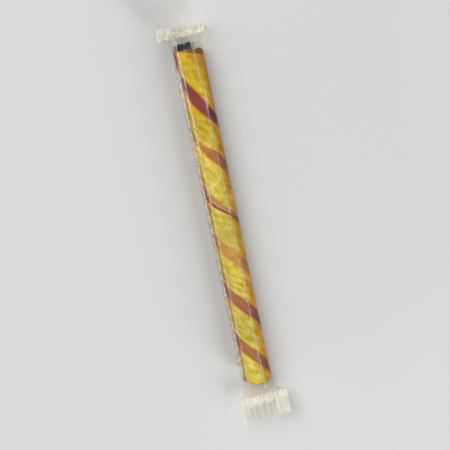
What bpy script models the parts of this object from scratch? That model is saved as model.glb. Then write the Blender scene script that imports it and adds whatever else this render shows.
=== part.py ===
"""A hard candy stick in its clear flow wrap, lying on its back.

Metres, +Z up. The stick runs along Y with its top end at +Y, and the side that shows is up. The
sealed film bag and the stick that fills it are one solid. It is a loft of unlike sections: a flat
fluted fin, a shoulder, the round body, and the same again at the other end.
"""

import math
from collections import namedtuple

import bmesh
import bpy

# The stick and the film drawn round it
CANDY_LENGTH = 0.127
CANDY_RADIUS = 0.0052
FILM_EASE = 0.0001
FILM_THICKNESS = 0.0003
REST_FLAT_DEPTH = 0.00028

# The tube's slack stands off as a low ear on each side, the left one a little further
LEFT_EAR_REACH = 0.00575
RIGHT_EAR_REACH = 0.00547
EAR_RIPPLE = 0.00010
EAR_RIPPLE_PITCH = 0.0093
GIRTH_RIPPLE = 0.00007
GIRTH_RIPPLE_PITCH = 0.034

# Each end of the bag. The shoulder runs from the stick's end to the line where the film is pressed
# flat, and its slant makes it longer on one side. The fin past it sits off the middle and is turned
# up, one side more than the other
Wrapping = namedtuple("Wrapping", "end shoulder slant offset turn turn_slant")
TOP = Wrapping(1, 0.0050, 0.00023, -0.00077, math.radians(60.3), math.radians(5.2))
BOTTOM = Wrapping(-1, 0.0050, -0.00040, 0.00077, math.radians(7), math.radians(-3))
SHOULDER_FULLNESS = 1.3
SHOULDER_FLARE = 3.6

# Crimped fins, most fluted where the film is gathered and flatter at their cut edges
FIN_HALF_WIDTH = 0.0089
FIN_LENGTH = 0.0090
FIN_BEND_ARC = 0.0024
FLUTE_COUNT = 8.5
FLUTE_DEPTH = 0.00030
FLUTE_CROWDING = 0.06
FLUTE_FADE = 0.25
FOLD_COUNT = 3.5
FOLD_DEPTH = 0.00042
WAVE_AT_EDGE = 0.35
EDGE_WAVE = 0.00035

# How finely the loft is cut
ACROSS = 48
BODY_STEPS = 24
SHOULDER_STEPS = 5
FIN_STEPS = 4

AMBER = (0.58, 0.38, 0.04, 1.0)
CLEAR_FILM = (0.90, 0.88, 0.82, 1.0)

AXIS_HEIGHT = CANDY_RADIUS + FILM_EASE + FILM_THICKNESS / 2 - REST_FLAT_DEPTH
UPPER, LOWER = 1, -1


def smooth(t):
    """Eases from 0 to 1 with no slope at either end."""
    t = min(max(t, 0.0), 1.0)
    return t * t * (3 - 2 * t)


def film_radius(y):
    """The drawn stick is not quite even, and its film follows it."""
    turn = 2 * math.pi * y / GIRTH_RIPPLE_PITCH
    return CANDY_RADIUS + FILM_EASE + GIRTH_RIPPLE * math.sin(turn)


def film_distance(f, y):
    """From the axis to the film: a circle, and a straight sheet from each tangent to its ear."""
    radius = film_radius(y)
    angle = f * math.pi / 2
    ripple = EAR_RIPPLE * math.sin(2 * math.pi * y / EAR_RIPPLE_PITCH)
    left_spread = math.acos(radius / (LEFT_EAR_REACH + ripple))
    right_spread = math.acos(radius / RIGHT_EAR_REACH)
    to_left = left_spread - (angle + math.pi / 2)
    to_right = right_spread - (math.pi / 2 - angle)
    return radius / math.cos(max(0.0, to_left, to_right))


def body_point(f, face, y):
    distance = film_distance(f, y)
    angle = f * math.pi / 2
    x = distance * math.sin(angle)
    z = distance * math.cos(angle) + FILM_THICKNESS / 2
    return x, y, face * z


def fin_wave(f, end):
    """How far the film stands off the fin's own plane: fine flutes over a few broad folds."""
    flutes = math.sin(math.pi * FLUTE_COUNT * (f + FLUTE_CROWDING * math.sin(5 * f + end)))
    folds = math.sin(math.pi * FOLD_COUNT * (f + 0.05 * end) + 0.6)
    evenness = 1 - FLUTE_FADE + FLUTE_FADE * math.sin(7 * f)
    return FLUTE_DEPTH * flutes * evenness + FOLD_DEPTH * folds


def shoulder_point(f, face, t, wrapping):
    """The round section sinks to a flat one while its sides run out to the fin's corners."""
    end = wrapping.end
    x_round, y, z_round = body_point(f, face, end * CANDY_LENGTH / 2)
    sink = (1 - t**SHOULDER_FULLNESS) ** (1 / SHOULDER_FULLNESS)
    x_flat = f * FIN_HALF_WIDTH + wrapping.offset
    x = x_round + (x_flat - x_round) * t**SHOULDER_FLARE
    half_film = face * FILM_THICKNESS / 2
    z = (z_round - half_film) * sink + half_film + fin_wave(f, end) * smooth((t - 0.4) / 0.6)
    return x, y + end * (wrapping.shoulder + wrapping.slant * f) * t, z


def fin_point(f, face, t, wrapping):
    """The fin leaves its shoulder flat, turns up on an arc, and runs on straight."""
    end = wrapping.end
    bend = wrapping.turn + wrapping.turn_slant * f
    reach = FIN_LENGTH + EDGE_WAVE * math.sin(9 * f + 2 * end) * t
    run = reach * t
    arc = min(run, FIN_BEND_ARC)
    angle = bend * arc / FIN_BEND_ARC
    out = FIN_BEND_ARC / bend * math.sin(angle) + (run - arc) * math.cos(bend)
    up = FIN_BEND_ARC / bend * (1 - math.cos(angle)) + (run - arc) * math.sin(bend)
    off = fin_wave(f, end) * (1 - (1 - WAVE_AT_EDGE) * t) + face * FILM_THICKNESS / 2
    start = CANDY_LENGTH / 2 + wrapping.shoulder + wrapping.slant * f
    y = start + out - off * math.sin(angle)
    z = up + off * math.cos(angle)
    return f * FIN_HALF_WIDTH + wrapping.offset, end * y, z


def ring(point):
    """One section: across the upper face from left to right, and back across the lower face."""
    shares = [-1 + 2 * i / ACROSS for i in range(ACROSS + 1)]
    upper = [point(f, UPPER) for f in shares]
    lower = [point(f, LOWER) for f in reversed(shares)]
    return upper + lower


def end_rings(wrapping):
    """The sections past one end of the stick, from the shoulder's first to the fin's free edge."""
    rings = []
    for step in range(1, SHOULDER_STEPS + 1):
        t = step / SHOULDER_STEPS
        rings.append(ring(lambda f, face: shoulder_point(f, face, t, wrapping)))
    for step in range(1, FIN_STEPS + 1):
        t = step / FIN_STEPS
        rings.append(ring(lambda f, face: fin_point(f, face, t, wrapping)))
    return rings


def sections():
    """Every section from the bottom fin's free edge to the top fin's."""
    bottom = end_rings(BOTTOM)
    top = end_rings(TOP)
    body = []
    for step in range(BODY_STEPS + 1):
        y = CANDY_LENGTH * (step / BODY_STEPS - 0.5)
        body.append(ring(lambda f, face: body_point(f, face, y)))
    return bottom[::-1] + body + top


def placed(rings):
    """Sets the sections on the floor, which flattens the film a little, and centres them."""
    ys = [y for section in rings for x, y, z in section]
    middle = (min(ys) + max(ys)) / 2
    return [[(x, y - middle, max(z + AXIS_HEIGHT, 0.0)) for x, y, z in section] for section in rings]


def plain_material(name, colour, roughness):
    material = bpy.data.materials.new(name)
    material.use_nodes = True
    shader = material.node_tree.nodes["Principled BSDF"]
    shader.inputs["Base Color"].default_value = colour
    shader.inputs["Roughness"].default_value = roughness
    shader.inputs["Metallic"].default_value = 0.0
    return material


def split(mesh, a, b, c, d, face, material):
    """Two triangles of one quad. The lower face has the upper one's diagonal, mirrored."""
    corners = ((a, b, c), (a, c, d)) if face == UPPER else ((a, b, d), (b, c, d))
    for three in corners:
        triangle = mesh.faces.new(three)
        triangle.material_index = material
        triangle.smooth = True


def skin(mesh, rings):
    """The loft's sides: each ring is joined to the next, all the way round."""
    count = len(rings[0])
    half = count // 2
    ends = SHOULDER_STEPS + FIN_STEPS
    for row, (near, far) in enumerate(zip(rings, rings[1:])):
        material = 0 if ends <= row < ends + BODY_STEPS else 1
        for i in range(count):
            j = (i + 1) % count
            face = UPPER if i < half else LOWER
            split(mesh, near[i], near[j], far[j], far[i], face, material)


def cap(mesh, section, outwards):
    """The thin free edge of a fin, between its upper and its lower face."""
    count = len(section)
    for i in range(ACROSS):
        a, b = section[i], section[i + 1]
        c, d = section[count - 2 - i], section[count - 1 - i]
        corners = (a, b, c, d) if outwards > 0 else (d, c, b, a)
        split(mesh, *corners, UPPER, 1)


def make_wrapped_stick(collection):
    rings = placed(sections())
    mesh = bmesh.new()
    rows = [[mesh.verts.new(point) for point in section] for section in rings]
    skin(mesh, rows)
    cap(mesh, rows[0], -1)
    cap(mesh, rows[-1], 1)
    bmesh.ops.recalc_face_normals(mesh, faces=mesh.faces)
    data = bpy.data.meshes.new("wrapped_stick")
    mesh.to_mesh(data)
    mesh.free()
    data.materials.append(plain_material("amber candy in film", AMBER, 0.22))
    data.materials.append(plain_material("clear film", CLEAR_FILM, 0.15))
    data.set_sharp_from_angle(angle=math.radians(40))
    collection.objects.link(bpy.data.objects.new("wrapped_stick", data))


def main():
    for old in list(bpy.data.objects):
        bpy.data.objects.remove(old)
    collection = bpy.data.collections.new("hard candy stick")
    bpy.context.scene.collection.children.link(collection)
    make_wrapped_stick(collection)


main()
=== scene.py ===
"""A hard candy stick in its clear film, laid on its back on a pale floor.

Metres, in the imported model's frame: the stick runs along Y with its top end at +Y, and +Z is up.
The film and the stick in it stand for the one CAD solid, and follow the formulas it was made with.
"""

import math
from collections import namedtuple

import bpy
import numpy as np
from mathutils import Matrix


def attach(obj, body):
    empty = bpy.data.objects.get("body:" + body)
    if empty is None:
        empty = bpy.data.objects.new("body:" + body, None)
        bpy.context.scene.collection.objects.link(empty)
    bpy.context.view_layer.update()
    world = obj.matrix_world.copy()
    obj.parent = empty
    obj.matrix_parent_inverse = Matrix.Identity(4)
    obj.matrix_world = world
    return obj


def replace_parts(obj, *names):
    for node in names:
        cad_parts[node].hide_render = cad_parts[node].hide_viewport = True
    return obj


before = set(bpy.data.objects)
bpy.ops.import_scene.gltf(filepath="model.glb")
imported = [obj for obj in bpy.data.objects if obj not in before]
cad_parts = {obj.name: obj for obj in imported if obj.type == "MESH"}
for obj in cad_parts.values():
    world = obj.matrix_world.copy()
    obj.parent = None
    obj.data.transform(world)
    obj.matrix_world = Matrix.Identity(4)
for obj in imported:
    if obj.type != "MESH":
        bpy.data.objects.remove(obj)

PI = math.pi

# The solid's own measures, as the CAD source has them
CANDY_LENGTH = 0.127
CANDY_RADIUS = 0.0052
FILM_EASE = 0.0001
FILM_THICKNESS = 0.0003
REST_FLAT_DEPTH = 0.00028
LEFT_EAR_REACH = 0.00575
RIGHT_EAR_REACH = 0.00547
EAR_RIPPLE = 0.0001
EAR_RIPPLE_PITCH = 0.0093
GIRTH_RIPPLE = 0.00007
GIRTH_RIPPLE_PITCH = 0.034
Wrapping = namedtuple("Wrapping", "end shoulder slant offset turn turn_slant")
TOP = Wrapping(1, 0.005, 0.00023, -0.00077, math.radians(60.3), math.radians(5.2))
BOTTOM = Wrapping(-1, 0.005, -0.0004, 0.00077, math.radians(7), math.radians(-3))
SHOULDER_FULLNESS = 1.3
SHOULDER_FLARE = 3.6
FIN_HALF_WIDTH = 0.0089
FIN_LENGTH = 0.009
FIN_BEND_ARC = 0.0024
FLUTE_COUNT = 8.5
FLUTE_DEPTH = 0.0003
FLUTE_CROWDING = 0.06
FLUTE_FADE = 0.25
FOLD_COUNT = 3.5
FOLD_DEPTH = 0.00042
WAVE_AT_EDGE = 0.35
EDGE_WAVE = 0.00035
ACROSS = 48
AXIS_HEIGHT = CANDY_RADIUS + FILM_EASE + FILM_THICKNESS / 2 - REST_FLAT_DEPTH
HALF_CANDY = CANDY_LENGTH / 2

# The drawn film is one skin, just under the solid's own surface. Only the floor is below LOWEST
SKIN = 0.00012
LOWEST = 0.00002
FLOOR_DEPTH = 0.0001
FLOOR_HALF = 1.5

# How far along the sheet a share of 1 across the film is: on the stick, on a fin, and on the whole
BODY_SHARE = 0.0085
FIN_SHARE = 0.0087
SHARE_LENGTH = 0.0086

# Film detail finer than the solid's: slow waves of slack, and the fins' crumple and sawn edges
SLACK_HEIGHT = 0.00004
CRUMPLE_HEIGHT = 0.00005
TOOTH_DEPTH = 0.00009
TEETH = 9.7

# The film's columns across its upper and its lower face, and its rows along the bottom fin, the
# bottom shoulder, the stick, the top shoulder and the top fin
FILM_COLUMNS = (150, 84)
FILM_ROWS = (40, 26, 270, 30, 45)

# Two stripes wind round the stick, half a turn apart, left-handed
STRIPE_PITCH = 0.0382
STRIPE_CROSSING = 0.0454

# The candy's ease in its film, its surface's wound ridges and slow waves, and its raise off the floor
CANDY_EASE = 0.00004
WOUND_RIDGE = 0.000022
UNEVENNESS = 0.00003
CANDY_RAISE = 0.00006

# A shallow dent near the top rim: its angle from the top line, its place, radius and depth
Dent = namedtuple("Dent", "angle y radius depth")
DENT = Dent(-0.13, 0.062, 0.0012, 0.00022)

# Where each cut lies level with the axis, as powers of x, highest first, and its slope with height
TOP_CUT = (-4430.0, -19.1, -0.127, 0.06303)
TOP_CUT_LEAN = 0.18
TOP_CUT_TWIST = -30.0
BOTTOM_CUT = (-0.12, -0.0614)
BOTTOM_CUT_LEAN = -0.17

# The top cut has a lip up its right: its height, and the x where it starts and is full
LIP_HEIGHT = 0.0013
LIP_START = 0.0016
LIP_FULL = 0.0054

# The candy's rings, from the middle of a cut face out to its rim, and along the stick
RING_POINTS = 176
FACE_RINGS = (0.12, 0.25, 0.38, 0.5, 0.62, 0.73, 0.83, 0.91, 0.97)
RIM_RINGS = 7
RIM_ROUND = 0.0004
SIDE_RINGS = 378
FACE_RISE = 0.00006
FACE_DENTS = 0.00016


def smooth(t):
    """Eases from 0 to 1 with no slope at either end."""
    t = np.clip(t, 0.0, 1.0)
    return t * t * (3 - 2 * t)


def eased(value, none, full):
    """Eases from 0 where the value is at none to 1 where it is at full."""
    return smooth((value - none) / (full - none))


def half_round(t):
    """A half circle: 0 at -1 and 1, and 1 between them."""
    return np.sqrt(np.clip(1 - t**2, 0.0, 1.0))


def hump(value, middle, width):
    """A bell curve that is 1 in the middle."""
    return np.exp(-(((value - middle) / width) ** 2))


def wander(values, seed, pitch):
    """A slow random line: three sines with seeded phases, each about half as long and as high."""
    draw = np.random.default_rng(seed)
    total = np.zeros_like(values)
    for octave in range(3):
        wavelength = pitch / (1.9**octave) * draw.uniform(0.8, 1.25)
        phase = draw.uniform(0, 2 * PI)
        total = total + np.sin(2 * PI * values / wavelength + phase) * 0.55**octave
    return total / 1.7


def swinging(values, seed, shortest, longest, least):
    """A line that swings to either side at uneven steps, easing from one turn to the next.

    It is 0 before the first turn, and values start near 0.
    """
    draw = np.random.default_rng(seed)
    count = 320
    turns = np.cumsum(draw.uniform(shortest, longest, count))
    swing = draw.uniform(least, 1.0, count) * np.where(np.arange(count) % 2 == 0, 1, -1)
    place = np.clip(np.interp(values, turns, np.arange(float(count))), 0, count - 1.001)
    first = np.floor(place).astype(int)
    return swing[first] + (swing[first + 1] - swing[first]) * smooth(place - first)


# ---- the film's surface


def film_radius(y):
    """The candy's radius and the film's ease, with a slow ripple along the stick."""
    return CANDY_RADIUS + FILM_EASE + GIRTH_RIPPLE * np.sin(2 * PI * y / GIRTH_RIPPLE_PITCH)


def film_body(across, y, face):
    """A circle with a straight sheet from each tangent to its ear, at angle across * 90 degrees.

    Its slack is a product of two slow waves, and fades towards the ears.
    """
    radius = film_radius(y)
    angle = across * PI / 2
    ripple = EAR_RIPPLE * np.sin(2 * PI * y / EAR_RIPPLE_PITCH)
    to_left = np.arccos(radius / (LEFT_EAR_REACH + ripple)) - (angle + PI / 2)
    to_right = np.arccos(radius / RIGHT_EAR_REACH) - (PI / 2 - angle)
    distance = radius / np.cos(np.maximum(0.0, np.maximum(to_left, to_right)))
    slack = wander(across * BODY_SHARE + 0.12 * y, 5, 0.0046) * wander(y, 6, 0.019)
    distance = distance + SLACK_HEIGHT * slack * np.cos(angle)
    x = distance * np.sin(angle)
    z = distance * np.cos(angle) + SKIN
    return x, y + 0 * x, face * z


def fin_wave(across, end):
    """How far the film stands off the fin's plane: fine flutes over a few broad folds."""
    flutes = np.sin(PI * FLUTE_COUNT * (across + FLUTE_CROWDING * np.sin(5 * across + end)))
    folds = np.sin(PI * FOLD_COUNT * (across + 0.05 * end) + 0.6)
    evenness = 1 - FLUTE_FADE + FLUTE_FADE * np.sin(7 * across)
    return FLUTE_DEPTH * flutes * evenness + FOLD_DEPTH * folds


def film_shoulder(across, t, face, wrapping):
    """The round section sinks to a flat one while its sides run out to the fin's corners."""
    end = wrapping.end
    x_round, y, z_round = film_body(across, end * HALF_CANDY + 0 * t, face)
    sink = (1 - t**SHOULDER_FULLNESS) ** (1 / SHOULDER_FULLNESS)
    x_flat = across * FIN_HALF_WIDTH + wrapping.offset
    x = x_round + (x_flat - x_round) * t**SHOULDER_FLARE
    half_film = face * SKIN
    z = (z_round - half_film) * sink + half_film + fin_wave(across, end) * eased(t, 0.4, 1.0)
    return x, y + end * (wrapping.shoulder + wrapping.slant * across) * t, z


def film_fin(across, t, face, wrapping, skin=SKIN, detail=1.0):
    """The fin leaves its shoulder flat, turns up on an arc and runs on straight to its cut edge.

    Without detail it is the solid's own fin.
    """
    end = wrapping.end
    bend = wrapping.turn + wrapping.turn_slant * across
    teeth = TOOTH_DEPTH * detail * np.abs(((across * TEETH) % 1.0) * 2 - 1)
    reach = FIN_LENGTH + (EDGE_WAVE * np.sin(9 * across + 2 * end) - teeth) * t
    run = reach * t
    arc = np.minimum(run, FIN_BEND_ARC)
    angle = bend * arc / FIN_BEND_ARC
    out = FIN_BEND_ARC / bend * np.sin(angle) + (run - arc) * np.cos(bend)
    up = FIN_BEND_ARC / bend * (1 - np.cos(angle)) + (run - arc) * np.sin(bend)
    crumple = CRUMPLE_HEIGHT * detail * wander(across * FIN_SHARE, 31 + end, 0.0017)
    wave = fin_wave(across, end) * (1 - (1 - WAVE_AT_EDGE) * t)
    off = wave + face * skin + crumple * eased(t, 0.0, 0.5)
    start = HALF_CANDY + wrapping.shoulder + wrapping.slant * across
    y = start + out - off * np.sin(angle)
    return across * FIN_HALF_WIDTH + wrapping.offset, end * y, up + off * np.cos(angle)


def middle_shift():
    """Half of the sum of the solid's two tips: it is centred on its box, and the film follows it."""
    across = np.linspace(-1, 1, ACROSS + 1)
    edge = np.ones_like(across)
    half = FILM_THICKNESS / 2
    ends = [(face, wrapping) for wrapping in (TOP, BOTTOM) for face in (1, -1)]
    tips = [film_fin(across, edge, face, wrapping, half, 0.0)[1] for face, wrapping in ends]
    return (np.max(tips) + np.min(tips)) / 2


MIDDLE = middle_shift()


def film_surface(across, along, face):
    """The film at a share across (-1 to 1) and a length along it from the stick's middle.

    Past the stick's ends the length runs over the shoulder and then over the fin.
    """
    across, along, face = np.broadcast_arrays(across, along, face)
    y_body = np.clip(along, -HALF_CANDY, HALF_CANDY)
    points = np.stack(film_body(across, y_body, face), -1)
    for wrapping in (TOP, BOTTOM):
        past = wrapping.end * along - HALF_CANDY
        shoulder_t = np.clip(past / wrapping.shoulder, 0, 1)
        fin_t = np.clip((past - wrapping.shoulder) / FIN_LENGTH, 0, 1)
        shoulder = np.stack(film_shoulder(across, shoulder_t, face, wrapping), -1)
        fin = np.stack(film_fin(across, fin_t, face, wrapping), -1)
        points = np.where((past > 0)[..., None], shoulder, points)
        points = np.where((past > wrapping.shoulder)[..., None], fin, points)
    points[..., 1] -= MIDDLE
    points[..., 2] = np.maximum(points[..., 2] + AXIS_HEIGHT, LOWEST)
    return points


def off_film(across, along, face, lift):
    """Points that stand off the film by a lift along its outward normal, and not below the lowest.

    The normal is the cross product of two short steps on the film.
    """
    step_across = 0.01
    step_along = 0.0001
    right = film_surface(across + step_across, along, face)
    left = film_surface(across - step_across, along, face)
    up = film_surface(across, along + step_along, face)
    down = film_surface(across, along - step_along, face)
    normal = np.cross(right - left, up - down) * face[..., None]
    size = np.maximum(np.linalg.norm(normal, axis=-1, keepdims=True), 1e-12)
    points = film_surface(across, along, face) + normal / size * lift
    points[..., 2] = np.maximum(points[..., 2], LOWEST)
    return points


# ---- meshes


def add_piece(name, points, faces, material, values):
    """Makes one piece from its points and faces, with named values on its points."""
    mesh = bpy.data.meshes.new(name)
    mesh.from_pydata(points.reshape(-1, 3).tolist(), [], faces)
    for key, value in values.items():
        layer = mesh.attributes.new(key, "FLOAT", "POINT")
        layer.data.foreach_set("value", np.asarray(value, np.float32).reshape(-1))
    mesh.polygons.foreach_set("use_smooth", [True] * len(mesh.polygons))
    mesh.materials.append(material)
    mesh.update()
    piece = bpy.data.objects.new(name, mesh)
    bpy.context.scene.collection.objects.link(piece)
    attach(piece, "root")
    return piece


def grid_faces(rows, columns, wrapped=False):
    """Quads between neighbouring rows and columns, and from the last column to the first."""
    low = np.arange(rows - 1)[:, None] * columns
    column = np.arange(columns if wrapped else columns - 1)
    after = (column + 1) % columns
    high = low + columns
    corners = [low + column, low + after, high + after, high + column]
    return np.stack(corners, -1).reshape(-1, 4)


# A ridge's sides start this far under the film, so that no gap shows
RIDGE_SINK = 0.00001


def ridge_sheet(across, along, face, width, height, milk, steps):
    """Low ridges on the film, one a row: a raised cosine across, carried along each middle line.

    across, along, width, height and milk are (ridges, stations), or one value for all of them.
    face is 1 or -1.
    """
    across, along, width, height, milk = np.broadcast_arrays(across, along, width, height, milk)
    run_across = np.gradient(across, axis=1) * SHARE_LENGTH
    run_along = np.gradient(along, axis=1)
    size = np.hypot(run_across, run_along)
    side_across = (run_along / size)[..., None]
    side_along = (-run_across / size)[..., None]
    offset = np.linspace(-1, 1, steps)
    half = width[..., None] / 2 * offset
    ridge_across = np.clip(across[..., None] + side_across * half / SHARE_LENGTH, -1, 1)
    ridge_along = along[..., None] + side_along * half
    profile = 0.5 + 0.5 * np.cos(PI * offset)
    lift = height[..., None] * profile - RIDGE_SINK
    side = np.full(ridge_across.shape, float(face))
    points = off_film(ridge_across, ridge_along, side, lift[..., None])
    values = milk[..., None] * profile**0.8
    count, stations = across.shape
    first = np.arange(count)[:, None, None] * stations * steps
    faces = (grid_faces(stations, steps) + first).reshape(-1, 4)
    if face < 0:
        faces = faces[:, ::-1]
    return points.reshape(-1, 3), faces, values.reshape(-1)


def joined(sheets):
    """Puts several sheets of points, faces and values into one."""
    points, faces, values = zip(*sheets)
    firsts = np.cumsum([0] + [len(sheet) for sheet in points[:-1]])
    faces = [sheet + first for sheet, first in zip(faces, firsts)]
    return np.concatenate(points), np.concatenate(faces).tolist(), np.concatenate(values)


# ---- materials


def new_material(name):
    material = bpy.data.materials.new(name)
    material.use_nodes = True
    tree = material.node_tree
    tree.nodes.clear()
    return material, tree


def node(tree, kind, settings=None, output=0, **inputs):
    """Adds a node and gives one of its outputs. Each input is a value or another node's output.

    An input is called by its name with _ for spaces, or by i and its number.
    """
    made = tree.nodes.new("ShaderNode" + kind)
    for key, value in (settings or {}).items():
        setattr(made, key, value)
    for key, value in inputs.items():
        socket = made.inputs[int(key[1:])] if key[1:].isdigit() else made.inputs[key.replace("_", " ")]
        if isinstance(value, bpy.types.NodeSocket):
            tree.links.new(value, socket)
        else:
            socket.default_value = value
    return made.outputs[output]


def show(tree, shader):
    """Makes a shader the material's surface."""
    material_output = tree.nodes.new("ShaderNodeOutputMaterial")
    tree.links.new(shader, material_output.inputs["Surface"])


def object_place(tree):
    return node(tree, "TexCoord", output="Object")


def axis(tree, place, name):
    return node(tree, "SeparateXYZ", output=name, Vector=place)


def math_node(tree, operation, first, second=0.0, third=0.0, clamp=False):
    settings = {"operation": operation, "use_clamp": clamp}
    return node(tree, "Math", settings, i0=first, i1=second, i2=third)


def product(tree, first, *others):
    for other in others:
        first = math_node(tree, "MULTIPLY", first, other)
    return first


def swayed(tree, value, pattern, amount):
    """A value with a pattern of 0 to 1 added, that sways it by the amount in all."""
    return math_node(tree, "ADD", value, math_node(tree, "MULTIPLY_ADD", pattern, amount, -amount / 2))


def ramp(tree, factor, stops):
    """A colour ramp through (place, colour) stops."""
    colour_out = node(tree, "ValToRGB", Fac=factor)
    band = colour_out.node.color_ramp
    while len(band.elements) < len(stops):
        band.elements.new(0.5)
    for element, (place, colour) in zip(band.elements, stops):
        element.position = place
        element.color = (*colour, 1.0)
    return colour_out


def grey(value):
    return (value, value, value)


def mix_colour(tree, factor, first, second, blend="MIX"):
    """Mixes two colours, each of which is three numbers or another node's output."""
    first, second = [(*colour, 1.0) if isinstance(colour, tuple) else colour for colour in (first, second)]
    settings = {"data_type": "RGBA", "blend_type": blend}
    return node(tree, "Mix", settings, 2, i0=factor, i6=first, i7=second)


def tinted(tree, colour, tint):
    return mix_colour(tree, 1.0, colour, tint, "MULTIPLY")


def map_range(tree, value, start, stop, low=0.0, high=1.0):
    """Eases from low to high while the value goes from start to stop."""
    settings = {"interpolation_type": "SMOOTHSTEP"}
    return node(tree, "MapRange", settings, Value=value, i1=start, i2=stop, i3=low, i4=high)


def attribute(tree, name):
    return node(tree, "Attribute", {"attribute_name": name}, "Fac")


def noise(tree, place, scale, detail=2.0, roughness=0.5):
    return node(tree, "TexNoise", Vector=place, Scale=scale, Detail=detail, Roughness=roughness)


def squeezed(tree, place, share):
    """The place with its length squeezed, so that a pattern on it is drawn out along the stick."""
    return node(tree, "Mapping", Vector=place, Scale=(1.0, share, 1.0))


def share_ramp(tree, along, stops):
    """A value that changes along the stick."""
    return ramp(tree, along, [(place, grey(value)) for place, value in stops])


# A stripe's colour, half width, strength, shift down and how dark its lower rim is, along the stick
# from 0 at its bottom end to 1 at its top. Widths and shifts are angles
Stripe = namedtuple("Stripe", "tones widths strengths shifts rims")
NEAR_STRIPE = Stripe(
    tones=(
        (0.0, (0.3, 0.084, 0.06)), (0.26, (0.357, 0.112, 0.075)), (0.56, (0.463, 0.208, 0.165)),
        (0.7, (0.414, 0.139, 0.07)), (0.82, (0.195, 0.036, 0.056)), (0.865, (0.26, 0.053, 0.056)),
        (1.0, (0.268, 0.057, 0.049)),
    ),
    widths=(
        (0.0, 0.46), (0.26, 0.44), (0.44, 0.32), (0.52, 0.21), (0.541, 0.25), (0.551, 0.31),
        (0.562, 0.33), (0.572, 0.36), (0.6, 0.32), (0.7, 0.38), (0.8, 0.48), (0.84, 0.47),
        (0.87, 0.42), (0.92, 0.42), (1.0, 0.48),
    ),
    strengths=((0.0, 0.93), (0.26, 0.93), (0.56, 0.75), (0.8, 1.0), (1.0, 1.0)),
    shifts=(
        (0.0, 0.0), (0.44, 0.0), (0.52, 0.01), (0.541, 0.13), (0.551, 0.225), (0.562, 0.25),
        (0.572, 0.245), (0.6, 0.13), (0.66, 0.0), (0.75, 0.06), (0.817, 0.18), (0.83, 0.13),
        (0.8425, 0.102), (0.854, 0.085), (0.87, -0.035), (0.886, -0.17), (0.917, -0.3), (1.0, -0.36),
    ),
    rims=((0.0, 0.1), (0.44, 0.2), (0.52, 0.7), (0.56, 0.97), (0.61, 0.85), (0.68, 0.1), (1.0, 0.0)),
)
FAR_STRIPE = Stripe(
    tones=(
        (0.0, (0.32, 0.113, 0.051)), (0.11, (0.358, 0.132, 0.06)), (0.41, (0.53, 0.237, 0.089)),
        (0.56, (0.5, 0.199, 0.06)), (0.66, (0.355, 0.094, 0.061)), (0.71, (0.43, 0.146, 0.055)),
        (0.745, (0.507, 0.203, 0.064)), (0.86, (0.431, 0.156, 0.04)), (1.0, (0.459, 0.165, 0.021)),
    ),
    widths=(
        (0.0, 0.42), (0.3, 0.44), (0.42, 0.42), (0.56, 0.36), (0.66, 0.44), (0.68, 0.42),
        (0.7, 0.44), (0.715, 0.36), (0.73, 0.22), (0.745, 0.17), (0.765, 0.22), (0.86, 0.34),
        (1.0, 0.4),
    ),
    strengths=(
        (0.0, 0.92), (0.14, 0.9), (0.41, 0.65), (0.56, 0.8), (0.71, 0.93), (0.86, 0.85),
        (0.95, 0.45), (1.0, 0.3),
    ),
    shifts=(
        (0.0, 0.0), (0.62, 0.0), (0.66, -0.06), (0.68, -0.06), (0.7, -0.13), (0.715, -0.18),
        (0.73, -0.1), (0.75, -0.08), (0.77, -0.18), (0.8, -0.1), (0.86, 0.0), (1.0, 0.0),
    ),
    rims=((0.0, 0.1), (1.0, 0.1)),
)
STRIPE_SHADES = ((0.32, (0.82, 0.78, 0.84)), (0.52, grey(1.0)), (0.72, (1.1, 1.1, 1.12)))
STRIPE_FRINGE = (0.56, 0.24, 0.012)
STRIPE_RIM = (0.17, 0.026, 0.022)
# Painted shade: the stripes turn darker purple on the flanks
STRIPE_FLANK_SHADE = (0.3, 0.26, 0.95)

# The amber sugar near the top cut, and paler lower down, which is a painted haze of light, and the tints
# of its clots, flecks and patches
DEEP_AMBER = ((0.32, (0.59, 0.395, 0.018)), (0.52, (0.64, 0.45, 0.03)), (0.68, (0.7, 0.53, 0.055)))
HAZE_PAINTED_AMBER = ((0.32, (0.62, 0.475, 0.052)), (0.52, (0.65, 0.538, 0.084)), (0.68, (0.73, 0.63, 0.135)))
CLOTS = (
    (0.32, (0.76, 0.71, 0.52)), (0.45, (0.93, 0.91, 0.84)), (0.53, grey(1.0)), (0.67, (1.11, 1.15, 2.0))
)
FLECKS = ((0.34, (0.93, 0.91, 0.85)), (0.5, grey(1.0)), (0.68, (1.04, 1.05, 1.2)))
PATCHES = ((0.3, (0.8, 0.815, 0.86)), (0.7, (1.11, 1.095, 1.02)))
GRAIN = ((0.3, grey(0.95)), (0.7, grey(1.045)))
# Painted shade: the tint that darkens the flanks to orange-brown
FLANK_SHADE_TINT = (0.6, 0.29, 0.06)
# Reddish-brown of the cut ends and the left flank's upper end; the middle one also paints shade in the
# dent
BROWN_MIDDLE_AND_DENT_SHADE = (0.36, 0.085, 0.014)
END_BROWN_RIGHT = (0.19, 0.035, 0.022)
END_BROWN_LEFT = (0.2, 0.038, 0.014)


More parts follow.
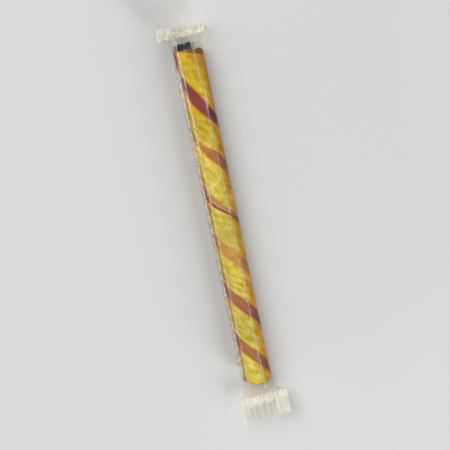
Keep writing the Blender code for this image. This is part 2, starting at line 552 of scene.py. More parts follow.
def stripe_on(tree, colour, angle, along, stripe, fine, broad, flank_shade, skin):
    """Lays one stripe on: full inside its width, with an orange fringe, and more purple under the flanks'
    painted shade.

    It is only in the stick's skin, so the cut ends don't show it.
    """
    tone = ramp(tree, along, stripe.tones)
    tone = mix_colour(tree, flank_shade, tone, tinted(tree, tone, STRIPE_FLANK_SHADE))
    strength = product(tree, share_ramp(tree, along, stripe.strengths), skin)
    shift = share_ramp(tree, along, [(place, 0.5 + value) for place, value in stripe.shifts])
    angle = math_node(tree, "ADD", angle, math_node(tree, "SUBTRACT", shift, 0.5))
    width = share_ramp(tree, along, stripe.widths)
    away = math_node(tree, "SUBTRACT", math_node(tree, "ABSOLUTE", angle), width)
    fringe = product(tree, map_range(tree, away, 0.2, 0.01, 0.0, 0.45), strength)
    colour = mix_colour(tree, fringe, colour, STRIPE_FRINGE)
    streaky = math_node(tree, "ADD", fine, 0.5, clamp=True)
    covered = product(tree, map_range(tree, away, 0.1, -0.08), strength, streaky)
    shaded = tinted(tree, tone, ramp(tree, broad, STRIPE_SHADES))
    colour = mix_colour(tree, covered, colour, shaded)
    from_edge = math_node(tree, "ABSOLUTE", math_node(tree, "ADD", away, 0.08))
    edge = map_range(tree, from_edge, 0.22, 0.02)
    lower = map_range(tree, angle, -0.05, -0.12)
    rim = product(tree, edge, share_ramp(tree, along, stripe.rims), lower, skin)
    return mix_colour(tree, rim, colour, STRIPE_RIM)


def amber_sugar(tree, along, blotch, mottle, specks, patches):
    """Amber that is paler down the stick, a painted haze of light, with clots, flecks and slow patches in
    it.
    """
    deep = ramp(tree, blotch, DEEP_AMBER)
    hazed = ramp(tree, blotch, HAZE_PAINTED_AMBER)
    # Painted haze of light: the amber pales down the stick
    amber = mix_colour(tree, map_range(tree, along, 0.86, 0.6), deep, hazed)
    for pattern, tints in ((mottle, CLOTS), (specks, FLECKS), (patches, PATCHES)):
        amber = tinted(tree, amber, ramp(tree, pattern, tints))
    return amber


def pulled_candy():
    """Amber sugar pulled in fine streaks that wind with the stick, and two soft-edged stripes."""
    material, tree = new_material("pulled amber candy")
    place = object_place(tree)
    y = axis(tree, place, "Y")
    along = math_node(tree, "MULTIPLY_ADD", y, 1 / CANDY_LENGTH, 0.5 + MIDDLE / CANDY_LENGTH)

    # The place turned back by the stripes' winding, in which the streaks run straight
    slow = node(tree, "TexNoise", {"noise_dimensions": "1D"}, W=y, Scale=45.0, Detail=1.0)
    winding = 2 * PI / STRIPE_PITCH
    turn = math_node(tree, "MULTIPLY_ADD", y, winding, -winding * (STRIPE_CROSSING - MIDDLE))
    turn = swayed(tree, turn, slow, 0.1)
    centred = node(tree, "Mapping", Vector=place, Location=(0, 0, -AXIS_HEIGHT))
    untwisted = node(
        tree, "VectorRotate", {"rotation_type": "AXIS_ANGLE"},
        Vector=centred, Axis=(0, 1, 0), Angle=turn,
    )
    clotted = squeezed(tree, untwisted, 0.6)
    fine = noise(tree, squeezed(tree, untwisted, 0.06), 1500.0, 3.0, 0.6)
    broad = noise(tree, squeezed(tree, untwisted, 0.14), 380.0, 4.0, 0.6)
    mottle = noise(tree, clotted, 560.0, 4.0, 0.56)
    specks = noise(tree, clotted, 1500.0)
    patches = noise(tree, place, 130.0)
    blotch = noise(tree, squeezed(tree, place, 0.62), 420.0, 5.0, 0.66)

    # Angles from each stripe's middle line, with its edges drawn out unevenly
    flat_x = axis(tree, untwisted, "X")
    flat_z = axis(tree, untwisted, "Z")
    angle = swayed(tree, math_node(tree, "ARCTAN2", flat_x, flat_z), broad, 0.3)
    angle = swayed(tree, angle, mottle, 0.22)
    far_angle = math_node(tree, "WRAP", math_node(tree, "ADD", angle, PI), PI, -PI)
    squares = math_node(tree, "ADD", product(tree, flat_x, flat_x), product(tree, flat_z, flat_z))
    skin = map_range(tree, math_node(tree, "SQRT", squares), 0.0044, 0.0049)

    flank_shade = attribute(tree, "flank_shade")
    amber = amber_sugar(tree, along, blotch, mottle, specks, patches)
    # Painted shade: the flanks darken to orange-brown
    colour = mix_colour(tree, flank_shade, amber, tinted(tree, amber, FLANK_SHADE_TINT))
    colour = stripe_on(tree, colour, angle, along, NEAR_STRIPE, fine, broad, flank_shade, skin)
    colour = stripe_on(tree, colour, far_angle, along, FAR_STRIPE, fine, broad, flank_shade, skin)
    colour = tinted(tree, colour, ramp(tree, fine, GRAIN))
    x = axis(tree, place, "X")
    # Reddish-brown on the ends, and painted shade in the dent
    brown_and_dent_shade = mix_colour(tree, map_range(tree, x, -0.001, 0.003), BROWN_MIDDLE_AND_DENT_SHADE, END_BROWN_RIGHT)
    brown_and_dent_shade = mix_colour(tree, map_range(tree, x, -0.003, -0.0045), brown_and_dent_shade, END_BROWN_LEFT)
    colour = mix_colour(tree, attribute(tree, "brown_and_dent_shade"), colour, brown_and_dent_shade)

    relief = math_node(tree, "MULTIPLY_ADD", fine, 0.25, product(tree, mottle, 0.75))
    bump = node(tree, "Bump", Strength=0.45, Distance=0.0002, Height=relief)
    rough = map_range(tree, broad, 0.3, 0.7, 0.22, 0.38)
    shader = node(
        tree, "BsdfPrincipled",
        Base_Color=colour, Roughness=rough, Normal=bump, IOR=1.5, Specular_IOR_Level=0.035,
        Subsurface_Weight=0.35, Subsurface_Scale=0.0018, Subsurface_Radius=(1.0, 0.55, 0.12),
    )
    show(tree, shader)
    return material


def clear_film():
    """Thin clear film: see-through with a soft shine, and milky white where it is creased or pressed,
    partly its own whitening and partly painted highlight.
    """
    material, tree = new_material("clear wrapping film")
    place = object_place(tree)
    slack = noise(tree, squeezed(tree, place, 0.35), 420.0, 3.0)
    relief = math_node(tree, "MULTIPLY_ADD", noise(tree, place, 1900.0), 0.16, slack)
    bump = node(tree, "Bump", Strength=0.55, Distance=0.0006, Height=relief)
    soft_bump = node(tree, "Bump", Strength=0.22, Distance=0.0006, Height=relief)

    facing = node(tree, "LayerWeight", output="Facing", Blend=0.5)
    grazing = math_node(tree, "POWER", facing, 5.0)
    sheen = math_node(tree, "MULTIPLY_ADD", grazing, 0.055, 0.014, clamp=True)
    through = node(tree, "BsdfTransparent", Color=(0.955, 0.945, 0.92, 1))
    gloss = node(tree, "BsdfGlossy", Color=(1, 1, 1, 1), Roughness=0.1, Normal=bump)
    clear = node(tree, "MixShader", Fac=sheen, i1=through, i2=gloss)

    white = (0.925, 0.9, 0.82, 1)
    front = node(tree, "BsdfPrincipled", Base_Color=white, Roughness=0.3, IOR=1.5, Normal=soft_bump)
    behind = node(tree, "BsdfTranslucent", Color=white)
    milky_and_glint = node(tree, "MixShader", Fac=0.45, i1=front, i2=behind)
    # Milky white: partly the film's own whitening, partly painted highlight along creases, edges and fins
    milk = attribute(tree, "milk")
    show(tree, node(tree, "MixShader", Fac=milk, i1=clear, i2=milky_and_glint))
    return material


def print_ink(name, colour):
    """Flat printing ink, a little worn, and thinner where its cover is low."""
    material, tree = new_material(name)
    worn = noise(tree, object_place(tree), 2200.0)
    dark = tuple(0.85 * part for part in colour)
    light = tuple(min(1, 1.15 * part) for part in colour)
    shade = ramp(tree, worn, ((0.3, dark), (0.7, light)))
    ink = node(tree, "BsdfPrincipled", Base_Color=shade, Roughness=0.38)
    bare = node(tree, "BsdfTransparent", Color=(1, 1, 1, 1))
    cover = attribute(tree, "cover")
    show(tree, node(tree, "MixShader", Fac=cover, i1=bare, i2=ink))
    return material


def pale_floor():
    """A plain pale floor with the faintest tone over it."""
    material, tree = new_material("pale floor")
    tone = noise(tree, object_place(tree), 3.0, 1.0)
    colour = ramp(tree, tone, ((0.3, (0.565, 0.565, 0.56)), (0.7, (0.585, 0.585, 0.58))))
    show(tree, node(tree, "BsdfPrincipled", Base_Color=colour, Roughness=0.75))
    return material


# ---- the candy


def cut_line(x, z, end):
    """Where an end is cut and its reddish-brown starts: a slanting plane, but the top one is a cubic of x
    that twists.
    """
    if end < 0:
        return np.polyval(BOTTOM_CUT, x) + BOTTOM_CUT_LEAN * z
    return np.polyval(TOP_CUT, x) + (TOP_CUT_LEAN + TOP_CUT_TWIST * x) * z


def cut_height(x, z, end):
    """Where a cut end of the stick lies: on its cut line, but the top one has a lip up its right."""
    lip = LIP_HEIGHT * eased(x, LIP_START, LIP_FULL) if end > 0 else 0.0
    return cut_line(x, z, end) + lip


def dent_share(angle, y):
    """How far into the dent a place on the stick is: 1 in its middle, 0 outside. It is wider than long."""
    angle = (angle + PI) % (2 * PI) - PI
    sideways = (angle - DENT.angle) * CANDY_RADIUS / DENT.radius
    away = np.hypot(sideways, (y - DENT.y) / (0.55 * DENT.radius))
    return eased(away, 1.3, 0.3)


def candy_radius(angle, y):
    """The stick's radius: a slow unevenness, low ridges that wind with the stripes, and the dent."""
    wound = angle + 2 * PI * (y - STRIPE_CROSSING) / STRIPE_PITCH
    ridges = 0.5 * np.sin(9 * wound + 1.3) + 0.3 * np.sin(14 * wound + 0.4) + 0.2 * np.sin(23 * wound)
    slow = wander(y, 11, 0.036) + 0.6 * np.sin(2 * angle + y / 0.021)
    dent = DENT.depth * dent_share(angle, y)
    return CANDY_RADIUS - CANDY_EASE + WOUND_RIDGE * ridges + UNEVENNESS * slow - dent


def candy_tones(x, y, z):
    """How much painted shade turns a flank orange-brown, and how reddish-brown the cuts are, by the place.

    The flanks' painted shade starts at an angle from the top line. The cut faces are reddish-brown to just
    over their rims, and so is the left flank's upper end. The dent is a little darker: painted shade.
    """
    angle = np.arctan2(x, z)
    # Painted shade on both flanks, in patches, from an angle off the top line
    begins = 0.25 + 0.27 * eased(y, 0.036, 0.05)
    right = eased(angle, begins, begins + 0.72) * eased(angle, 2.7, 1.9)
    left_begins = 0.8 - 0.2 * eased(y, 0.026, 0.016)
    left = eased(-angle, left_begins, left_begins + 0.4) * eased(-angle, 2.7, 1.9)
    patchy = 0.85 + 0.15 * wander(y + 0.5 * angle * CANDY_RADIUS, 46, 0.011)
    flank_shade = (0.95 * right + 0.78 * left) * patchy

    ragged = 0.00012 * wander(x + 0.7 * z, 47, 0.0029)
    under = cut_line(x, z, 1) - y
    over = y - cut_line(x, z, -1)
    middle = eased(np.hypot(x, z), 0.00483, 0.00063) + 0.35 * wander(1.3 * x + z, 48, 0.0041)
    faces = (0.88 - 0.26 * middle) * eased(np.minimum(under, over) - ragged, 0.00048, 0.00018)
    side = 0.9 * eased(-angle, 0.86, 1.06) * eased(-angle, 2.6, 2.0)
    side = side * eased(under - 5 * ragged, 0.0068, 0.0048)
    # The dent's darkening is painted shade
    brown_and_dent_shade = np.maximum(np.maximum(faces, side), 0.16 * dent_share(angle, y) * (z > 0))
    return np.clip(flank_shade, 0, 1), np.clip(brown_and_dent_shade, 0, 1)


def cut_end(angle, end):
    """Rings from the middle of a cut face out to its rim, and on round the rim to the stick's side.

    The face lies on its cut with a slight rise and shallow dents, and the rim is a quarter circle.
    """
    shares = np.array(FACE_RINGS)
    roll = np.linspace(0.0, PI / 2, RIM_RINGS)
    rim = RIM_ROUND / CANDY_RADIUS
    share = np.concatenate([shares * (1 - rim), 1 - rim * (1 - np.sin(roll))])[:, None]
    rise = FACE_RISE * wander(shares * CANDY_RADIUS, 21 + end, 0.004)
    back = np.concatenate([-rise, RIM_ROUND * (1 - np.cos(roll))])[:, None]
    radius = candy_radius(angle, cut_height(0, 0, end)) * share
    x = radius * np.sin(angle)
    z = radius * np.cos(angle)
    dents = FACE_DENTS * wander(x * 1.3 + z, 41 + end, 0.0052) * (share < 0.99)
    return np.stack([x, cut_height(x, z, end) - end * (back + dents), z], -1)


def candy_stick(material):
    """A long round bar: rings from the middle of one cut face out, along the stick and in again."""
    angle = np.linspace(0, 2 * PI, RING_POINTS, endpoint=False)[None, :]
    low = cut_end(angle, -1)
    high = cut_end(angle, 1)[::-1]
    share = np.linspace(0, 1, SIDE_RINGS + 2)[1:-1, None]
    y = low[-1, :, 1] + (high[0, :, 1] - low[-1, :, 1]) * share
    radius = candy_radius(angle, y)
    side = np.stack([radius * np.sin(angle), y, radius * np.cos(angle)], -1)
    grid = np.concatenate([low, side, high])
    poles = np.stack([low[0].mean(axis=0), high[-1].mean(axis=0)])
    points = np.concatenate([grid.reshape(-1, 3), poles])
    flank_shade, brown_and_dent_shade = candy_tones(*points.T)
    points[:, 1] -= MIDDLE
    points[:, 2] = np.maximum(points[:, 2] + AXIS_HEIGHT + CANDY_RAISE, 2 * LOWEST)

    around = np.arange(RING_POINTS)
    after = (around + 1) % RING_POINTS
    last = (len(grid) - 1) * RING_POINTS
    pole = np.full(RING_POINTS, len(grid) * RING_POINTS)
    low_fan = np.stack([around, after, pole], -1)
    high_fan = np.stack([last + after, last + around, pole + 1], -1)
    faces = grid_faces(len(grid), RING_POINTS, wrapped=True)[:, ::-1].tolist()
    faces += low_fan.tolist() + high_fan.tolist()
    tones = {"flank_shade": flank_shade, "brown_and_dent_shade": brown_and_dent_shade}
    return add_piece("candy", points, faces, material, tones)


# ---- the bag


def film_stations():
    """Lengths along the film: close together on the fins and shoulders, wider along the stick."""
    bottom = -HALF_CANDY - BOTTOM.shoulder
    top = HALF_CANDY + TOP.shoulder
    corners = [bottom - FIN_LENGTH, bottom, -HALF_CANDY, HALF_CANDY, top, top + FIN_LENGTH]
    rows = np.cumsum([0, *FILM_ROWS])
    return np.interp(np.arange(rows[-1] + 1), rows, corners)


def fin_milk_and_glint(across, along, wrapping):
    """How milky white one fin is, partly the crimped film's own whitening and partly painted highlight:
    most in the gathered band at its foot, whose edges are uneven.

    One side is folded over as a soft white panel, with a bright pleat beside it.
    """
    end = wrapping.end
    sheet = across * FIN_SHARE
    fin = (end * along - HALF_CANDY - wrapping.shoulder) / FIN_LENGTH
    run = fin * FIN_LENGTH
    foot = 0.018 * np.sin(across * 9.0 + 2.2 * end) + 0.014 * wander(sheet, 51 + end, 0.0019)
    head = 0.24 + 0.07 * wander(sheet, 54 + end, 0.0041)
    streaks = 0.87 + 0.13 * wander(sheet + 0.1 * (FIN_LENGTH - run), 61 + end, 0.0016)
    band = 0.97 * eased(fin - foot, -0.03, 0.015) * eased(fin, head + 0.22, head) ** 0.7
    cloudy = 0.1 + 0.1 * wander(sheet + 0.15 * run, 71 + end, 0.0013)
    lines = 0.45 * eased(3 * wander(sheet - 0.08 * run, 74 + end, 0.0021), 1.1, 2.1)
    upper = cloudy * eased(fin, 0.05, 0.15) + lines * eased(fin, 0.1, 0.3)
    edge = 0.5 * eased(fin, 0.968, 0.988)
    sides = 0.62 * eased(np.abs(across), 0.95, 0.98) * eased(fin, -0.03, 0.03)

    folded = -across * end
    past_foot = eased(fin - foot, -0.02, 0.03)
    soft = 0.5 + 0.14 * wander(sheet * 0.7 + 0.5 * run, 77 + end, 0.0036)
    panel = soft * eased(folded, 0.58, 0.6) * past_foot
    pleat = 0.86 * eased(folded + 0.02 * fin, 0.42, 0.45) * eased(folded, 0.6, 0.56)
    pleat = pleat * past_foot * (1 - 0.5 * eased(fin, 0.6, 0.9))
    far_end = 0.48 * eased(-folded, 0.84, 0.89) * past_foot
    return np.max([band * streaks, upper, edge, sides, panel, pleat, far_end], axis=0)


def film_milk_and_glint(across, along):
    """How milky white the film is, partly its own whitening and partly painted highlight: a little along
    its ears, and more on its fins.
    """
    along = along + 0 * across
    milk = (0.2 + 0.12 * wander(along, 57, 0.017)) * eased(np.abs(across), 0.98, 0.992)
    for wrapping in (TOP, BOTTOM):
        milk = np.maximum(milk, fin_milk_and_glint(across, along, wrapping))
    return np.clip(milk, 0, 0.95)


def film_wrap(material):
    """The bag: columns run across the upper face from left to right and back under the lower one.

    Each fin's free edge is closed by faces that join a lower column to the upper ones over it.
    """
    upper = np.linspace(-1, 1, FILM_COLUMNS[0] + 1)
    lower = np.linspace(1, -1, FILM_COLUMNS[1] + 1)
    across = np.concatenate([upper, lower])[None, :]
    face = np.concatenate([np.ones_like(upper), -np.ones_like(lower)])[None, :]
    along = film_stations()[:, None]
    points = film_surface(across, along, face)
    rows, columns = points.shape[:2]
    faces = grid_faces(rows, columns, wrapped=True).tolist()
    for row, outward in ((0, False), (rows - 1, True)):
        first = row * columns
        last = first + columns - 1
        for i in range(FILM_COLUMNS[1]):
            a = round(i * FILM_COLUMNS[0] / FILM_COLUMNS[1])
            b = round((i + 1) * FILM_COLUMNS[0] / FILM_COLUMNS[1])
            corner = [first + k for k in range(a, b + 1)] + [last - i - 1, last - i]
            faces.append(corner if outward else corner[::-1])
    return add_piece("film_wrap", points, faces, material, {"milk": film_milk_and_glint(across, along)})


# ---- creases and crinkles

# Where the two long folds run: a length along the stick, and the share across the film there
FRONT_FOLD = (
    (-0.07, 0.24), (-0.04, 0.27), (0.008, 0.318), (0.03, 0.305), (0.04, 0.286),
    (0.045, 0.335), (0.05, 0.37), (0.055, 0.262), (0.059, 0.272), (0.063, 0.24),
    (0.065, 0.205), (0.0685, 0.249),
)
LEFT_FOLD = (
    (-0.0685, -0.42), (-0.0635, -0.47), (-0.055, -0.42), (0.02, -0.392), (0.04, -0.415),
    (0.055, -0.435), (0.06, -0.455), (0.065, -0.497), (0.0685, -0.391),
)
CREASE_STATIONS = 620

# A kind of short stroke: each measure's limits, but the lean's middle and spread, the bow's spread
Strokes = namedtuple("Strokes", "length lean bow width height milk")
PUCKERS = Strokes(
    (0.0012, 0.0034), (0.0, 0.11), 0.00012, (0.00045, 0.00085), (0.00004, 0.00009), (0.12, 0.48)
)
TENSION = Strokes(
    (0.003, 0.0075), (-0.7, 0.15), 0.00012, (0.00045, 0.00085), (0.00002, 0.00004), (0.04, 0.12)
)
FAINT = Strokes(
    (0.002, 0.009), (0.0, 0.1), 0.00012, (0.00035, 0.0007), (0.00002, 0.00004), (0.05, 0.18)
)
SEAL_BLOBS = Strokes(
    (0.0005, 0.0019), (-0.1, 0.35), 0.00018, (0.0003, 0.0006), (0.00008, 0.00018), (0.45, 0.97)
)

# A shoulder's folds: the share across at the fin and at the far tip, and the reach in shoulders
GUSSETS = (
    (-0.94, -0.84, 0.4), (-0.8, -0.7, 0.6), (-0.28, -0.26, 0.25), (0.04, 0.08, 0.35),
    (0.547, 0.9, 0.3), (0.8, 0.66, 0.62), (0.93, 0.86, 0.45),
)
CRESTS = 13


def front_fold(along):
    """Where the fold right of the middle runs: it drifts to the side and back, never straight."""
    drift = np.interp(along, *zip(*FRONT_FOLD))
    return drift + 0.005 * wander(along, 81, 0.009) + 0.0022 * wander(along, 82, 0.0021)


def left_fold(along):
    """Where the fold left of the middle runs: it bows out at the shoulder and back to the fin."""
    drift = np.interp(along, *zip(*LEFT_FOLD))
    return drift + 0.006 * wander(along, 91, 0.03) + 0.0028 * wander(along, 92, 0.0045)


def stretch(start, stop):
    """The stations of one long crease, as a row."""
    return np.linspace(start, stop, CREASE_STATIONS)[None, :]


def left_crease(along):
    """The brightest fold, its white partly painted highlight: softer and wider down the stick."""
    lower = eased(along, 0.036, 0.022)
    milk = 0.76 - 0.5 * lower + 0.2 * wander(along, 93, 0.013) + 0.16 * wander(along, 105, 0.0034)
    width = 0.00078 + 0.00036 * lower
    width = width + 0.00018 * wander(along, 94, 0.008) + 0.00016 * wander(along, 106, 0.0023)
    return ridge_sheet(left_fold(along), along, 1, width, 0.0001, np.clip(milk, 0.12, 0.97), 9)


def side_crease(along):
    """A shorter fold left of the left one, which comes nearer to it at the fin and fades out below."""
    apart = 0.132 - 0.04 * eased(along, 0.065, 0.0685)
    across = left_fold(along) - apart - 0.008 * wander(along, 95, 0.02) + 0.004 * wander(along, 96, 0.004)
    taper = eased(along, 0.04, 0.054)
    milk = (0.66 + 0.3 * wander(along, 97, 0.009)) * taper
    return ridge_sheet(across, along, 1, 0.00048, 0.00011 * taper, np.clip(milk, 0, 0.9), 9)


def front_crease(along):
    """A fainter fold, with a bright lump on it and a broad stretch by the shoulder, their white partly
    painted highlight.
    """
    lumps = hump(along, 0.046, 0.0042) + 0.6 * eased(along, 0.064, 0.0655)
    milk = 0.34 + 0.36 * lumps + 0.18 * wander(along, 98, 0.011) + 0.14 * wander(along, 99, 0.0027)
    broad = eased(along, 0.048, 0.052) * eased(along, 0.0645, 0.0625)
    width = 0.00062 + 0.0003 * broad
    width = width + 0.00018 * wander(along, 100, 0.006) + 0.0001 * wander(along, 107, 0.0019)
    return ridge_sheet(front_fold(along), along, 1, width, 0.0001, np.clip(milk, 0.08, 0.9), 9)


def long_creases():
    """Pulled folds along the bag, and two faint ones: beside the front fold and near the right ear."""
    top = HALF_CANDY + TOP.shoulder + 0.001
    whole = stretch(top, -HALF_CANDY - BOTTOM.shoulder + 0.001)
    creases = [left_crease(whole), side_crease(stretch(top, 0.039)), front_crease(whole)]

    along = stretch(0.052, -0.058)
    across = front_fold(along) - 0.085 + 0.022 * wander(along, 101, 0.012)
    milk = np.clip(0.1 + 0.45 * wander(along, 102, 0.014), 0, 0.6)
    creases.append(ridge_sheet(across, along, 1, 0.00036, 0.00007, milk, 7))

    along = stretch(0.06, -0.06)
    across = 0.74 + 0.03 * wander(along, 103, 0.03)
    milk = np.clip(0.1 + 0.2 * wander(along, 104, 0.018), 0, 0.4)
    creases.append(ridge_sheet(across, along, 1, 0.00034, 0.00006, milk, 7))
    return creases


def short_strokes(draw, across, along, kind, face=1):
    """Bowed wrinkles at given middles: each runs at its lean from the length, thin at its tips."""
    q = np.linspace(-0.5, 0.5, 17)[None, :]
    each = (len(along), 1)
    length = draw.uniform(*kind.length, each)
    lean = draw.normal(*kind.lean, each)
    bow = draw.normal(0, kind.bow, each)
    curve = bow * (0.25 - q**2) * 4
    step_along = length * q * np.cos(lean) - curve * np.sin(lean)
    step_across = length * q * np.sin(lean) + curve * np.cos(lean)
    taper = half_round(2 * q) + 0.02
    width = draw.uniform(*kind.width, each) * taper
    height = draw.uniform(*kind.height, each) * taper
    milk = draw.uniform(*kind.milk, each) * taper
    lines = np.clip(across[:, None] + step_across / SHARE_LENGTH, -0.99, 0.99)
    return ridge_sheet(lines, along[:, None] + step_along, face, width, height, milk, 7)


def crinkles():
    """Puckers beside the front fold, soft slanting tension wrinkles, and faint ones all round."""
    draw = np.random.default_rng(7)
    count = 46
    along = np.linspace(0.0615, -0.0615, count) + draw.normal(0, 0.001, count)
    beside = front_fold(along) + draw.normal(-0.006, 0.017, count)
    sheets = [short_strokes(draw, beside, along, PUCKERS)]
    for face, count, low, high, left, right, kind in (
        (1, 30, -0.06, 0.061, -0.25, 0.6, TENSION),
        (1, 50, -0.061, 0.061, -0.85, 0.93, FAINT),
        (-1, 90, -0.055, 0.055, -0.85, 0.93, FAINT),
    ):
        along = draw.uniform(low, high, count)
        across = draw.uniform(left, right, count)
        sheets.append(short_strokes(draw, across, along, kind, face))
    return sheets


def gusset_folds(draw, wrapping, face, q):
    """A shoulder's folds, from just past the fin's foot towards the stick, thin at their far tips."""
    starts, stops, reach = np.array(GUSSETS).T[:, :, None]
    starts = starts + draw.normal(0, 0.01, starts.shape)
    stops = stops + draw.normal(0, 0.012, stops.shape)
    across = starts + (stops - starts) * q**1.3
    along = wrapping.end * (HALF_CANDY + wrapping.shoulder * (1 - reach * q) + 0.0004)
    taper = (1 - q) ** 0.5 * eased(6 * q, -0.2, 0.8)
    milk = draw.uniform(0.35, 0.75, reach.shape) * taper
    return ridge_sheet(across, along, face, 0.00042 * taper + 0.00004, 0.00009 * taper, milk, 7)


def flute_crests(draw, wrapping, face, q):
    """Bright lines up a fin's flutes, partly painted highlight, from near its foot to uneven heights, thin
    at both tips.
    """
    each = (CRESTS, 1)
    middles = np.linspace(-0.93, 0.93, CRESTS)[:, None] + draw.normal(0, 0.03, each)
    far = draw.uniform(0.55, 0.99, each)
    near = draw.uniform(-0.03, 0.03, each)
    across = middles + 0.01 * np.sin(q * 5 + middles * 20)
    foot = HALF_CANDY + wrapping.shoulder
    along = wrapping.end * (foot + FIN_LENGTH * (near + (far - near) * q))
    taper = half_round(2 * q - 1) + 0.03
    width = draw.uniform(0.00022, 0.0006, each) * taper
    milk = draw.uniform(0.15, 0.6, each) * taper
    return ridge_sheet(across, along, face, width, 0.00005 * taper, milk, 5)


def end_folds():
    """Gusset folds of both shoulders, and the bright crests of the fins' flutes."""
    draw = np.random.default_rng(19)
    q = np.linspace(0, 1, 40)[None, :]
    sheets = []
    for wrapping in (TOP, BOTTOM):
        for face in (1, -1):
            sheets.append(gusset_folds(draw, wrapping, face, q))
            sheets.append(flute_crests(draw, wrapping, face, q))
    return sheets


# ---- the lengthwise seal

SEAL_TOP = 0.0585
SEAL_BOTTOM = -0.062


def seal_strip():
    """The seal on the left flank: a crimped, cloudy strip that is laid round the left ear.

    Its travel runs from a share on the upper face over the ear at -1 and on under the lower face. A
    zigzag whose folds slant across it lifts it off the film.
    """
    along = np.linspace(SEAL_TOP, SEAL_BOTTOM, 1200)[:, None]
    share = np.linspace(0, 1, 19)[None, :]
    zigzag = swinging(SEAL_TOP + 0.002 - along + 0.0011 * share, 29, 0.0003, 0.00095, 0.2)
    fade = eased(along, SEAL_TOP, SEAL_TOP - 0.003) * eased(along, SEAL_BOTTOM, SEAL_BOTTOM + 0.003)
    inner = -0.6 + 0.03 * wander(along, 83, 0.0047) - 0.2 * (1 - fade)
    travel = inner + (-1.26 - inner) * share
    over = travel < -1
    across = np.where(over, -2 - travel, travel)
    face = np.where(over, -1.0, 1.0)
    bow = np.sin(PI * share) ** 0.7
    lift = 0.00002 + fade * (0.00008 + 0.00007 * zigzag) * bow
    along = along + 0 * share
    points = off_film(across, along, face, lift[..., None])
    cloud = 0.4 + 0.26 * zigzag + 0.3 * wander(along + 0.0012 * share, 87, 0.0034)
    solid = eased(along, 0.04, 0.048)
    outer = 1 - 0.82 * eased(share, 0.36, 0.52)
    milk = np.clip(cloud * (0.8 + 0.2 * solid) + 0.22 * solid, 0.02, 0.92)
    milk = milk * eased(share, 0, 1 / 6) * fade * outer
    faces = grid_faces(*points.shape[:2])[:, ::-1]
    return points.reshape(-1, 3), faces, milk.reshape(-1)


def seal_bead():
    """The seal's white edge, partly pressed film and partly painted highlight: a raised bead that wanders
    along it.
    """
    q = np.linspace(0, 1, 1500)[None, :]
    along = SEAL_TOP + (SEAL_BOTTOM + 0.0008 - SEAL_TOP) * q
    swings = swinging(SEAL_TOP + 0.001 - along, 33, 0.0006, 0.0021, 0.2)
    across = -0.715 + 0.042 * swings + 0.02 * wander(along, 88, 0.0035)
    taper = eased(q, 0, 1 / 60) * eased(q, 1, 1 - 1 / 40)
    upper = eased(along, 0.03, 0.042)
    patchy = np.maximum(eased(1.6 * wander(along, 89, 0.0043), -0.6, 0.4), upper)
    milk = np.clip(0.42 + 0.55 * patchy, 0, 0.97) * taper
    width = (0.00045 + 0.0004 * patchy) * taper + 0.00004
    return ridge_sheet(across, along, 1, width, (0.00012 + 0.00012 * patchy) * taper, milk, 9)


def seal_blobs():
    """White blobs beside the seal's bead, partly pressed film and partly painted highlight."""
    draw = np.random.default_rng(31)
    count = 90
    along = np.linspace(0.0572, -0.0605, count) + draw.normal(0, 0.0008, count)
    return short_strokes(draw, draw.uniform(-0.82, -0.62, count), along, SEAL_BLOBS)


# ---- print

# The ink's lift off the film, and the navy band's lower and upper edge along the stick
INK_LIFT = 0.00003
BAND_LOW = 0.06225
BAND_HIGH = 0.0649


def film_patch(name, across, along, material, cover):
    """Ink on the film's far side: a grid between two shares and two lengths, just off the film."""
    across, along = np.broadcast_arrays(across, along)
    points = off_film(across, along, np.full(across.shape, -1.0), INK_LIFT)
    faces = grid_faces(*points.shape[:2]).tolist()
    add_piece(name, points, faces, material, {"cover": cover + 0 * across})


def film_print():
    """The far side's print, without any words: a navy band across the top shoulder, its ink darkened by
    painted shade.

    It is full on its left and thinned on its right, a painted highlight, with a short pale line below it.
    """
    # Painted shade: the band's ink is darker navy than the print's own blue
    shaded_navy = print_ink("navy ink", (0.03, 0.045, 0.1))
    cream = print_ink("white ink", (0.78, 0.77, 0.72))
    across = np.linspace(-0.74, 0.72, 70)[None, :]
    share = np.linspace(0, 1, 12)[:, None]
    sheet = across * SHARE_LENGTH
    low = BAND_LOW + 0.0001 * wander(sheet, 85, 0.004)
    high = BAND_HIGH + 0.00018 * wander(sheet, 86, 0.003)
    # Painted highlight: the ink thins out on the right; it thins a little on the far left too
    thin = 0.88 * eased(across, 0.02, 0.36) + 0.35 * eased(-across, 0.5, 0.6)
    worn = 0.55 * hump(across, -0.1, 0.07) * eased(share, 0.45, 0.85)
    cover = np.clip(0.96 - thin - worn + 0.05 * wander(sheet, 84, 0.0015), 0, 1)
    film_patch("print_band", across, low + (high - low) * share, shaded_navy, cover)
    rule = 0.7 * eased(across, -0.46, -0.4) * eased(across, -0.08, -0.18)
    film_patch("print_rule", across, low - 0.00036 + 0.0003 * share, cream, rule)


# ---- floor, lights and camera

# Each light's name, place, size and power
LIGHTS = (
    ("key", (-0.5, 0.78, 0.98), (1.0, 1.0), 14.5),
    ("front", (0.75, -0.95, 0.62), (0.8, 0.6), 14.0),
    ("strip", (-1.0, -0.36, 0.14), (0.05, 0.9), 3.2),
)
WORLD_STRENGTH = 0.34

# The sight line meets the stick at an angle from its top end's side, and the stick leans in view
SIGHT = math.radians(72)
LEAN = math.radians(12)
DISTANCE = 0.9
SHOWN_WIDTH = 0.16
TARGET = (0.0, 0.0, 0.006)


def make_floor():
    mesh = bpy.data.meshes.new("floor")
    sides = [(-1, -1), (1, -1), (1, 1), (-1, 1)]
    corners = [(x * FLOOR_HALF, y * FLOOR_HALF, -FLOOR_DEPTH) for x, y in sides]
    mesh.from_pydata(corners, [], [(0, 1, 2, 3)])
    mesh.materials.append(pale_floor())
    floor = bpy.data.objects.new("floor", mesh)
    bpy.context.scene.collection.objects.link(floor)


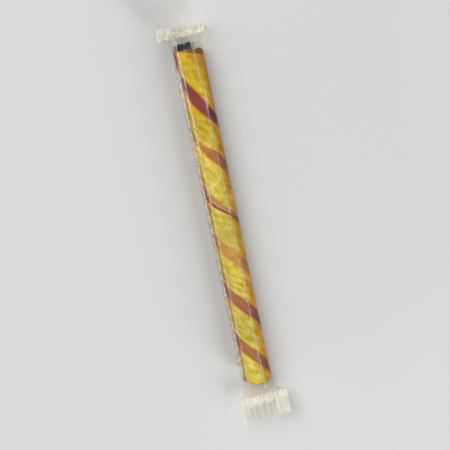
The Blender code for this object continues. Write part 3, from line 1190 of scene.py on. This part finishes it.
def set_up(thing, right, up, back, place):
    """Puts a light or the camera in its place, turned so that it looks away from its back."""
    matrix = np.eye(4)
    matrix[:3] = np.stack([right, up, back, place], -1)
    thing.matrix_world = Matrix(matrix.tolist())
    bpy.context.scene.collection.objects.link(thing)


def make_lights():
    """Rectangular soft lights that face the stick's middle, and an even white world."""
    for name, place, size, power in LIGHTS:
        data = bpy.data.lights.new(name, "AREA")
        data.shape = "RECTANGLE"
        data.size, data.size_y = size
        data.energy = power
        back = np.array(place) / np.linalg.norm(place)
        side = np.cross((0.0, 1.0, 0.0), back)
        side = side / np.linalg.norm(side)
        set_up(bpy.data.objects.new(name, data), side, np.cross(back, side), back, place)
    world = bpy.data.worlds.new("studio")
    world.use_nodes = True
    background = world.node_tree.nodes["Background"]
    background.inputs["Color"].default_value = (1.0, 1.0, 1.0, 1.0)
    background.inputs["Strength"].default_value = WORLD_STRENGTH
    bpy.context.scene.world = world


def make_camera():
    """Looks down the sight line at the target, turned so that the stick leans in view."""
    back = np.array([0.0, math.cos(SIGHT), math.sin(SIGHT)])
    stick_up = np.array([0.0, math.sin(SIGHT), -math.cos(SIGHT)])
    side = np.array([1.0, 0.0, 0.0])
    right = math.cos(LEAN) * side - math.sin(LEAN) * stick_up
    up = math.sin(LEAN) * side + math.cos(LEAN) * stick_up
    data = bpy.data.cameras.new("camera")
    data.sensor_width = 36.0
    data.lens = data.sensor_width * DISTANCE / SHOWN_WIDTH
    data.clip_start = 0.05
    data.clip_end = 20.0
    camera = bpy.data.objects.new("camera", data)
    set_up(camera, right, up, back, np.array(TARGET) + DISTANCE * back)
    bpy.context.scene.camera = camera


def main():
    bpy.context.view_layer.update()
    film = clear_film()
    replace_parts(candy_stick(pulled_candy()), "wrapped_stick")
    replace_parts(film_wrap(film), "wrapped_stick")
    for name, sheets in (
        ("film_seal", [seal_strip(), seal_bead(), seal_blobs()]),
        ("film_creases", long_creases() + end_folds()),
        ("film_crinkles", crinkles()),
    ):
        points, faces, milk = joined(sheets)
        add_piece(name, points, faces, film, {"milk": milk})
    film_print()
    make_floor()
    make_lights()
    make_camera()
    bpy.context.scene.view_settings.view_transform = "Standard"


main()
